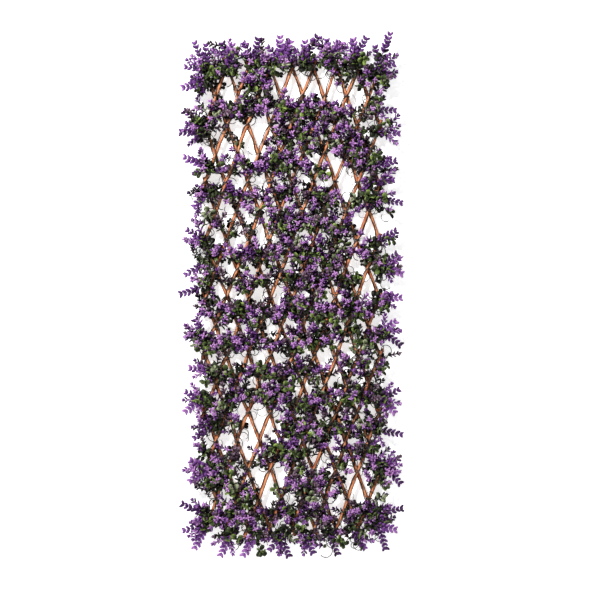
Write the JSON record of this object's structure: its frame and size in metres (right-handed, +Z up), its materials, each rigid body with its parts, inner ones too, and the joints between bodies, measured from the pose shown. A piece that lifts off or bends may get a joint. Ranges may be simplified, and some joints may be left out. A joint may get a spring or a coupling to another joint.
{
  "type": "artificial flower screen",
  "caption": "Upright folding willow lattice screen, nailed at each crossing, with sprays of artificial purple flowers and green leaves.",
  "frame": {"origin": "centre of the rear face of the centre pin's rear head, in the plane of the wall that the screen hangs on", "axes": "+Z up along the height of the screen, +X to the right seen from the front, -Y out of the wall towards the viewer"},
  "size_m": [0.4963, 0.0416, 1.1605],
  "materials": {
    "centre_pin": "dark blued steel",
    "front_stick_01": "reddish-brown willow, bark on, with nails of dark steel",
    "front_stick_02": "reddish-brown willow, bark on, with nails of dark steel",
    "front_stick_03": "reddish-brown willow, bark on, with nails of dark steel",
    "front_stick_04": "reddish-brown willow, bark on, with nails of dark steel",
    "front_stick_05": "reddish-brown willow, bark on, with nails of dark steel",
    "front_stick_06": "reddish-brown willow, bark on, with nails of dark steel",
    "front_stick_07": "reddish-brown willow, bark on, with nails of dark steel",
    "front_stick_08": "reddish-brown willow, bark on, with nails of dark steel",
    "front_stick_09": "reddish-brown willow, bark on, with nails of dark steel",
    "front_stick_10": "reddish-brown willow, bark on, with nails of dark steel",
    "front_stick_11": "reddish-brown willow, bark on, with nails of dark steel",
    "front_stick_12": "reddish-brown willow, bark on, with nails of dark steel",
    "front_stick_13": "reddish-brown willow, bark on, with nails of dark steel",
    "front_stick_14": "reddish-brown willow, bark on, with nails of dark steel",
    "front_stick_15": "reddish-brown willow, bark on, with nails of dark steel",
    "back_stick_01": "reddish-brown willow, bark on",
    "back_stick_02": "reddish-brown willow, bark on",
    "back_stick_03": "reddish-brown willow, bark on",
    "back_stick_04": "reddish-brown willow, bark on",
    "back_stick_05": "reddish-brown willow, bark on",
    "back_stick_06": "reddish-brown willow, bark on",
    "back_stick_07": "reddish-brown willow, bark on",
    "back_stick_08": "reddish-brown willow, bark on",
    "back_stick_09": "reddish-brown willow, bark on",
    "back_stick_10": "reddish-brown willow, bark on",
    "back_stick_11": "reddish-brown willow, bark on",
    "back_stick_12": "reddish-brown willow, bark on",
    "back_stick_13": "reddish-brown willow, bark on",
    "back_stick_14": "reddish-brown willow, bark on",
    "back_stick_15": "reddish-brown willow, bark on",
    "flower_garland_01": "soft moulded purple leaves and dark stems",
    "flower_garland_02": "soft moulded purple leaves and dark stems",
    "flower_garland_03": "soft moulded purple leaves and dark stems",
    "flower_garland_04": "soft moulded purple leaves and dark stems",
    "flower_garland_05": "soft moulded purple leaves and dark stems",
    "flower_garland_06": "soft moulded purple leaves and dark stems",
    "flower_garland_07": "soft moulded purple leaves and dark stems",
    "flower_garland_08": "soft moulded purple leaves and dark stems",
    "flower_garland_09": "soft moulded purple leaves and dark stems",
    "flower_garland_10": "soft moulded purple leaves and dark stems",
    "flower_garland_11": "soft moulded purple leaves and dark stems",
    "flower_garland_12": "soft moulded purple leaves and dark stems",
    "flower_garland_13": "soft moulded purple leaves and dark stems",
    "flower_garland_14": "soft moulded purple leaves and dark stems",
    "flower_garland_15": "soft moulded purple leaves and dark stems",
    "leaf_garland_02": "soft moulded green leaves and dark stems",
    "leaf_garland_03": "soft moulded green leaves and dark stems",
    "leaf_garland_04": "soft moulded green leaves and dark stems",
    "leaf_garland_05": "soft moulded green leaves and dark stems",
    "leaf_garland_06": "soft moulded green leaves and dark stems",
    "leaf_garland_07": "soft moulded green leaves and dark stems",
    "leaf_garland_08": "soft moulded green leaves and dark stems",
    "leaf_garland_09": "soft moulded green leaves and dark stems",
    "leaf_garland_10": "soft moulded green leaves and dark stems",
    "leaf_garland_11": "soft moulded green leaves and dark stems",
    "leaf_garland_12": "soft moulded green leaves and dark stems",
    "leaf_garland_13": "soft moulded green leaves and dark stems",
    "leaf_garland_14": "soft moulded green leaves and dark stems",
    "leaf_garland_15": "soft moulded green leaves and dark stems"
  },
  "bodies": {
    "centre_pin": {"centre_pin": "centre_pin"},
    "front_stick_01": {"front_stick_01": "front_stick_01", "flower_garland_01": "flower_garland_01"},
    "front_stick_02": {"front_stick_02": "front_stick_02", "flower_garland_02": "flower_garland_02"},
    "front_stick_03": {"front_stick_03": "front_stick_03", "flower_garland_03": "flower_garland_03"},
    "front_stick_04": {"front_stick_04": "front_stick_04", "flower_garland_04": "flower_garland_04"},
    "front_stick_05": {"front_stick_05": "front_stick_05", "flower_garland_05": "flower_garland_05"},
    "front_stick_06": {"front_stick_06": "front_stick_06", "flower_garland_06": "flower_garland_06"},
    "front_stick_07": {"front_stick_07": "front_stick_07", "flower_garland_07": "flower_garland_07"},
    "front_stick_08": {"front_stick_08": "front_stick_08", "flower_garland_08": "flower_garland_08"},
    "front_stick_09": {"front_stick_09": "front_stick_09", "flower_garland_09": "flower_garland_09"},
    "front_stick_10": {"front_stick_10": "front_stick_10", "flower_garland_10": "flower_garland_10"},
    "front_stick_11": {"front_stick_11": "front_stick_11", "flower_garland_11": "flower_garland_11"},
    "front_stick_12": {"front_stick_12": "front_stick_12", "flower_garland_12": "flower_garland_12"},
    "front_stick_13": {"front_stick_13": "front_stick_13", "flower_garland_13": "flower_garland_13"},
    "front_stick_14": {"front_stick_14": "front_stick_14", "flower_garland_14": "flower_garland_14"},
    "front_stick_15": {"front_stick_15": "front_stick_15", "flower_garland_15": "flower_garland_15"},
    "back_stick_01": {"back_stick_01": "back_stick_01"},
    "back_stick_02": {"back_stick_02": "back_stick_02", "leaf_garland_02": "leaf_garland_02"},
    "back_stick_03": {"back_stick_03": "back_stick_03", "leaf_garland_03": "leaf_garland_03"},
    "back_stick_04": {"back_stick_04": "back_stick_04", "leaf_garland_04": "leaf_garland_04"},
    "back_stick_05": {"back_stick_05": "back_stick_05", "leaf_garland_05": "leaf_garland_05"},
    "back_stick_06": {"back_stick_06": "back_stick_06", "leaf_garland_06": "leaf_garland_06"},
    "back_stick_07": {"back_stick_07": "back_stick_07", "leaf_garland_07": "leaf_garland_07"},
    "back_stick_08": {"back_stick_08": "back_stick_08", "leaf_garland_08": "leaf_garland_08"},
    "back_stick_09": {"back_stick_09": "back_stick_09", "leaf_garland_09": "leaf_garland_09"},
    "back_stick_10": {"back_stick_10": "back_stick_10", "leaf_garland_10": "leaf_garland_10"},
    "back_stick_11": {"back_stick_11": "back_stick_11", "leaf_garland_11": "leaf_garland_11"},
    "back_stick_12": {"back_stick_12": "back_stick_12", "leaf_garland_12": "leaf_garland_12"},
    "back_stick_13": {"back_stick_13": "back_stick_13", "leaf_garland_13": "leaf_garland_13"},
    "back_stick_14": {"back_stick_14": "back_stick_14", "leaf_garland_14": "leaf_garland_14"},
    "back_stick_15": {"back_stick_15": "back_stick_15", "leaf_garland_15": "leaf_garland_15"}
  },
  "joints": [
    {"name": "lattice_fold", "type": "hinge", "parent": "centre_pin", "child": "front_stick_08", "pos_m": [0, -0.00945, 0], "axis": [0, 1, 0], "range_deg": [-13.25, 39.25], "deforming": ["flower_garland_08"]},
    {"name": "back_08_turn", "type": "hinge", "parent": "centre_pin", "child": "back_stick_08", "pos_m": [0, -0.00945, 0], "axis": [0, 1, 0], "range_deg": [-39.75, 13.75], "deforming": ["leaf_garland_08"]},
    {"name": "back_01_turn", "type": "hinge", "parent": "front_stick_08", "child": "back_stick_01", "pos_m": [0.16864, -0.00945, 0.44512], "axis": [0, 1, 0], "range_deg": [-79, 27]},
    {"name": "back_02_turn", "type": "hinge", "parent": "front_stick_08", "child": "back_stick_02", "pos_m": [0.14455, -0.00945, 0.38154], "axis": [0, 1, 0], "range_deg": [-79, 27], "deforming": ["leaf_garland_02"]},
    {"name": "back_03_turn", "type": "hinge", "parent": "front_stick_08", "child": "back_stick_03", "pos_m": [0.12046, -0.00945, 0.31795], "axis": [0, 1, 0], "range_deg": [-79, 27], "deforming": ["leaf_garland_03"]},
    {"name": "back_04_turn", "type": "hinge", "parent": "front_stick_08", "child": "back_stick_04", "pos_m": [0.09637, -0.00945, 0.25436], "axis": [0, 1, 0], "range_deg": [-79, 27], "deforming": ["leaf_garland_04"]},
    {"name": "back_05_turn", "type": "hinge", "parent": "front_stick_08", "child": "back_stick_05", "pos_m": [0.07228, -0.00945, 0.19077], "axis": [0, 1, 0], "range_deg": [-79, 27], "deforming": ["leaf_garland_05"]},
    {"name": "back_06_turn", "type": "hinge", "parent": "front_stick_08", "child": "back_stick_06", "pos_m": [0.04818, -0.00945, 0.12718], "axis": [0, 1, 0], "range_deg": [-79, 27], "deforming": ["leaf_garland_06"]},
    {"name": "back_07_turn", "type": "hinge", "parent": "front_stick_08", "child": "back_stick_07", "pos_m": [0.02409, -0.00945, 0.06359], "axis": [0, 1, 0], "range_deg": [-79, 27], "deforming": ["leaf_garland_07"]},
    {"name": "back_09_turn", "type": "hinge", "parent": "front_stick_08", "child": "back_stick_09", "pos_m": [-0.02409, -0.00945, -0.06359], "axis": [0, 1, 0], "range_deg": [-79, 27], "deforming": ["leaf_garland_09"]},
    {"name": "back_10_turn", "type": "hinge", "parent": "front_stick_08", "child": "back_stick_10", "pos_m": [-0.04818, -0.00945, -0.12718], "axis": [0, 1, 0], "range_deg": [-79, 27], "deforming": ["leaf_garland_10"]},
    {"name": "back_11_turn", "type": "hinge", "parent": "front_stick_08", "child": "back_stick_11", "pos_m": [-0.07228, -0.00945, -0.19077], "axis": [0, 1, 0], "range_deg": [-79, 27], "deforming": ["leaf_garland_11"]},
    {"name": "back_12_turn", "type": "hinge", "parent": "front_stick_08", "child": "back_stick_12", "pos_m": [-0.09637, -0.00945, -0.25436], "axis": [0, 1, 0], "range_deg": [-79, 27], "deforming": ["leaf_garland_12"]},
    {"name": "back_13_turn", "type": "hinge", "parent": "front_stick_08", "child": "back_stick_13", "pos_m": [-0.12046, -0.00945, -0.31795], "axis": [0, 1, 0], "range_deg": [-79, 27], "deforming": ["leaf_garland_13"]},
    {"name": "back_14_turn", "type": "hinge", "parent": "front_stick_08", "child": "back_stick_14", "pos_m": [-0.14455, -0.00945, -0.38154], "axis": [0, 1, 0], "range_deg": [-79, 27], "deforming": ["leaf_garland_14"]},
    {"name": "back_15_turn", "type": "hinge", "parent": "front_stick_08", "child": "back_stick_15", "pos_m": [-0.16864, -0.00945, -0.44512], "axis": [0, 1, 0], "range_deg": [-79, 27], "deforming": ["leaf_garland_15"]},
    {"name": "front_01_turn", "type": "hinge", "parent": "back_stick_08", "child": "front_stick_01", "pos_m": [-0.16864, -0.00945, 0.44512], "axis": [0, 1, 0], "range_deg": [-27, 79], "deforming": ["flower_garland_01"]},
    {"name": "front_02_turn", "type": "hinge", "parent": "back_stick_08", "child": "front_stick_02", "pos_m": [-0.14455, -0.00945, 0.38154], "axis": [0, 1, 0], "range_deg": [-27, 79], "deforming": ["flower_garland_02"]},
    {"name": "front_03_turn", "type": "hinge", "parent": "back_stick_08", "child": "front_stick_03", "pos_m": [-0.12046, -0.00945, 0.31795], "axis": [0, 1, 0], "range_deg": [-27, 79], "deforming": ["flower_garland_03"]},
    {"name": "front_04_turn", "type": "hinge", "parent": "back_stick_08", "child": "front_stick_04", "pos_m": [-0.09637, -0.00945, 0.25436], "axis": [0, 1, 0], "range_deg": [-27, 79], "deforming": ["flower_garland_04"]},
    {"name": "front_05_turn", "type": "hinge", "parent": "back_stick_08", "child": "front_stick_05", "pos_m": [-0.07228, -0.00945, 0.19077], "axis": [0, 1, 0], "range_deg": [-27, 79], "deforming": ["flower_garland_05"]},
    {"name": "front_06_turn", "type": "hinge", "parent": "back_stick_08", "child": "front_stick_06", "pos_m": [-0.04818, -0.00945, 0.12718], "axis": [0, 1, 0], "range_deg": [-27, 79], "deforming": ["flower_garland_06"]},
    {"name": "front_07_turn", "type": "hinge", "parent": "back_stick_08", "child": "front_stick_07", "pos_m": [-0.02409, -0.00945, 0.06359], "axis": [0, 1, 0], "range_deg": [-27, 79], "deforming": ["flower_garland_07"]},
    {"name": "front_09_turn", "type": "hinge", "parent": "back_stick_08", "child": "front_stick_09", "pos_m": [0.02409, -0.00945, -0.06359], "axis": [0, 1, 0], "range_deg": [-27, 79], "deforming": ["flower_garland_09"]},
    {"name": "front_10_turn", "type": "hinge", "parent": "back_stick_08", "child": "front_stick_10", "pos_m": [0.04818, -0.00945, -0.12718], "axis": [0, 1, 0], "range_deg": [-27, 79], "deforming": ["flower_garland_10"]},
    {"name": "front_11_turn", "type": "hinge", "parent": "back_stick_08", "child": "front_stick_11", "pos_m": [0.07228, -0.00945, -0.19077], "axis": [0, 1, 0], "range_deg": [-27, 79], "deforming": ["flower_garland_11"]},
    {"name": "front_12_turn", "type": "hinge", "parent": "back_stick_08", "child": "front_stick_12", "pos_m": [0.09637, -0.00945, -0.25436], "axis": [0, 1, 0], "range_deg": [-27, 79], "deforming": ["flower_garland_12"]},
    {"name": "front_13_turn", "type": "hinge", "parent": "back_stick_08", "child": "front_stick_13", "pos_m": [0.12046, -0.00945, -0.31795], "axis": [0, 1, 0], "range_deg": [-27, 79], "deforming": ["flower_garland_13"]},
    {"name": "front_14_turn", "type": "hinge", "parent": "back_stick_08", "child": "front_stick_14", "pos_m": [0.14455, -0.00945, -0.38154], "axis": [0, 1, 0], "range_deg": [-27, 79], "deforming": ["flower_garland_14"]},
    {"name": "front_15_turn", "type": "hinge", "parent": "back_stick_08", "child": "front_stick_15", "pos_m": [0.16864, -0.00945, -0.44512], "axis": [0, 1, 0], "range_deg": [-27, 79], "deforming": ["flower_garland_15"]}
  ],
  "couplings": [
    {"joint": "back_08_turn", "follows": "lattice_fold", "ratio": -1},
    {"joint": "back_01_turn", "follows": "lattice_fold", "ratio": -2},
    {"joint": "back_02_turn", "follows": "lattice_fold", "ratio": -2},
    {"joint": "back_03_turn", "follows": "lattice_fold", "ratio": -2},
    {"joint": "back_04_turn", "follows": "lattice_fold", "ratio": -2},
    {"joint": "back_05_turn", "follows": "lattice_fold", "ratio": -2},
    {"joint": "back_06_turn", "follows": "lattice_fold", "ratio": -2},
    {"joint": "back_07_turn", "follows": "lattice_fold", "ratio": -2},
    {"joint": "back_09_turn", "follows": "lattice_fold", "ratio": -2},
    {"joint": "back_10_turn", "follows": "lattice_fold", "ratio": -2},
    {"joint": "back_11_turn", "follows": "lattice_fold", "ratio": -2},
    {"joint": "back_12_turn", "follows": "lattice_fold", "ratio": -2},
    {"joint": "back_13_turn", "follows": "lattice_fold", "ratio": -2},
    {"joint": "back_14_turn", "follows": "lattice_fold", "ratio": -2},
    {"joint": "back_15_turn", "follows": "lattice_fold", "ratio": -2},
    {"joint": "front_01_turn", "follows": "lattice_fold", "ratio": 2},
    {"joint": "front_02_turn", "follows": "lattice_fold", "ratio": 2},
    {"joint": "front_03_turn", "follows": "lattice_fold", "ratio": 2},
    {"joint": "front_04_turn", "follows": "lattice_fold", "ratio": 2},
    {"joint": "front_05_turn", "follows": "lattice_fold", "ratio": 2},
    {"joint": "front_06_turn", "follows": "lattice_fold", "ratio": 2},
    {"joint": "front_07_turn", "follows": "lattice_fold", "ratio": 2},
    {"joint": "front_09_turn", "follows": "lattice_fold", "ratio": 2},
    {"joint": "front_10_turn", "follows": "lattice_fold", "ratio": 2},
    {"joint": "front_11_turn", "follows": "lattice_fold", "ratio": 2},
    {"joint": "front_12_turn", "follows": "lattice_fold", "ratio": 2},
    {"joint": "front_13_turn", "follows": "lattice_fold", "ratio": 2},
    {"joint": "front_14_turn", "follows": "lattice_fold", "ratio": 2},
    {"joint": "front_15_turn", "follows": "lattice_fold", "ratio": 2}
  ]
}
